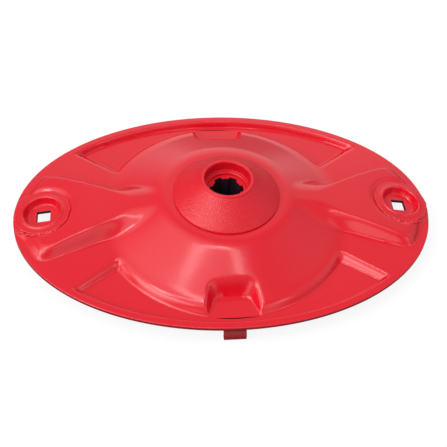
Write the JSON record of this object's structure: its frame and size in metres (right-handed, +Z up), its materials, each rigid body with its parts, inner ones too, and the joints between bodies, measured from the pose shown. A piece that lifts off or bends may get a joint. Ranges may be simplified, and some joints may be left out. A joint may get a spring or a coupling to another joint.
{
  "type": "mower disc",
  "caption": "Oval pressed-steel cutting disc of a disc mower, with a raised cone, a splined hub, two knife cups with square holes and ejector lugs.",
  "frame": {"origin": "centre of the hub's lower face, on the spindle's axis", "axes": "+Z up along the spindle's axis, +X towards one knife end, +Y across the disc"},
  "size_m": [0.44, 0.2998, 0.0727],
  "materials": {
    "gloss_red_paint": "glossy red paint over pressed steel",
    "cast_red_paint": "red paint over a rough casting",
    "zinc_plate": "zinc-plated steel"
  },
  "bodies": {
    "root": {"disc_pressing": "gloss_red_paint", "knife_cup_left": "gloss_red_paint", "knife_cup_right": "gloss_red_paint", "hub_cone": "cast_red_paint", "spline_hub": "cast_red_paint", "hub_screw_1": "zinc_plate", "hub_screw_2": "zinc_plate", "hub_screw_3": "zinc_plate", "hub_screw_4": "zinc_plate", "hub_screw_5": "zinc_plate", "hub_screw_6": "zinc_plate", "lock_washer_1": "zinc_plate", "lock_washer_2": "zinc_plate", "lock_washer_3": "zinc_plate", "lock_washer_4": "zinc_plate", "lock_washer_5": "zinc_plate", "lock_washer_6": "zinc_plate", "drive_dowel_1": "zinc_plate", "drive_dowel_2": "zinc_plate", "ejector_lug_front": "gloss_red_paint", "ejector_lug_rear": "gloss_red_paint"}
  },
  "joints": []
}
